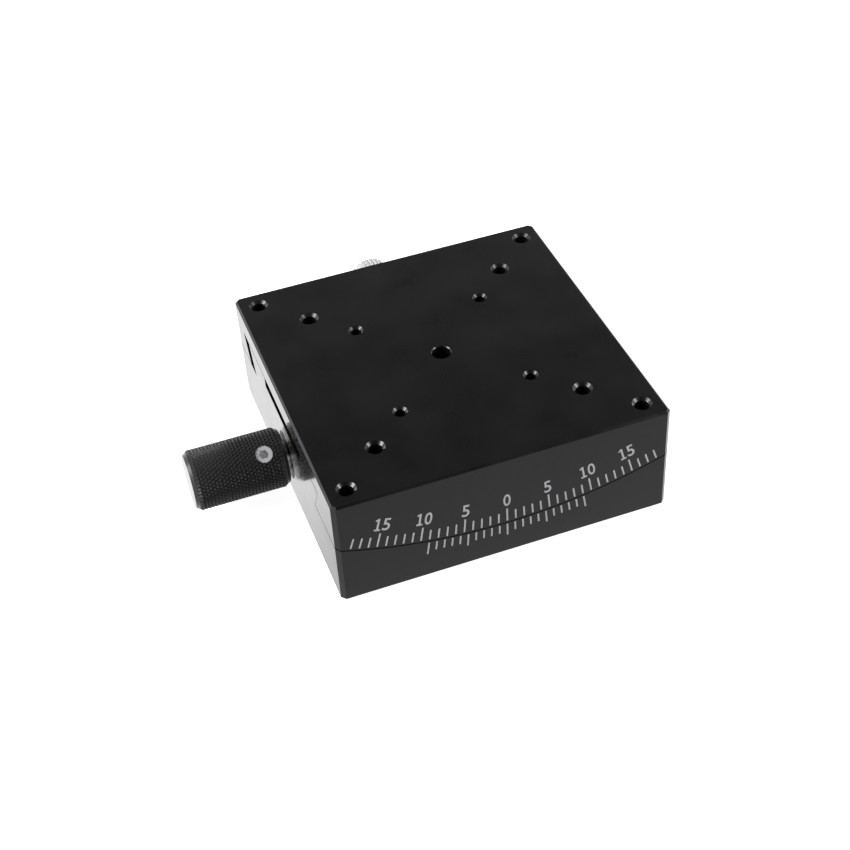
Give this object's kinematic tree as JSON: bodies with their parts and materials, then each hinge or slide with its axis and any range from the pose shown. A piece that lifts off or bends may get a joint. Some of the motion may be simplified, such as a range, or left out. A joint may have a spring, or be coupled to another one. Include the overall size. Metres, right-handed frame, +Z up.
{
  "type": "goniometer stage",
  "caption": "Square goniometer stage: a table tilts on a curved dovetail base, driven by a worm knob, with an arc scale, a vernier and a clamp screw.",
  "frame": {"origin": "centre of the base's flat bottom face", "axes": "+Z up, the scale side faces -Y, the drive knob points towards -X and the clamp screw towards +Y"},
  "size_m": [0.104, 0.0982, 0.029],
  "materials": {
    "black_aluminium": "matte black anodised",
    "black_knob": "black anodised, knurled",
    "steel": "turned and ground",
    "dark_steel": "black oxide",
    "bronze": "machined bronze",
    "gib_brass": "milled brass"
  },
  "bodies": {
    "base": {"base": "black_aluminium", "knob_housing": "black_aluminium", "end_housing": "black_aluminium", "housing_screws": "dark_steel", "knob_bush": "bronze", "end_bush": "bronze", "retaining_ring": "dark_steel", "stop_pin": "steel"},
    "table": {"table": "black_aluminium", "worm_sector": "bronze", "sector_screws": "dark_steel", "gib": "gib_brass", "gib_screws": "dark_steel"},
    "worm": {"worm_shaft": "steel", "knob": "black_knob", "knob_screw": "steel", "knob_spacer": "steel", "thrust_washer": "steel", "disc_spring": "steel"},
    "clamp_pad": {"clamp_pad": "gib_brass"},
    "clamp_screw": {"clamp_screw": "steel"}
  },
  "joints": [
    {"name": "table_tilt", "type": "hinge", "parent": "base", "child": "table", "pos_m": [0, 0, 0.129], "axis": [0, 1, 0], "range_deg": [-15, 15]},
    {"name": "worm_turn", "type": "hinge", "parent": "base", "child": "worm", "pos_m": [0, 0, 0.01085], "axis": [1, 0, 0], "range_deg": [-4320, 4320]},
    {"name": "clamp_feed", "type": "slide", "parent": "table", "child": "clamp_pad", "axis": [0, -1, 0], "range_m": [-0.0007, 0.0003]},
    {"name": "clamp_turn", "type": "hinge", "parent": "clamp_pad", "child": "clamp_screw", "pos_m": [0, 0.05, 0.0128], "axis": [0, -1, 0], "range_deg": [-360, 154.3]}
  ],
  "couplings": [
    {"joint": "worm_turn", "follows": "table_tilt", "ratio": 288},
    {"joint": "clamp_turn", "follows": "clamp_feed", "rad_per_m": 8976}
  ]
}
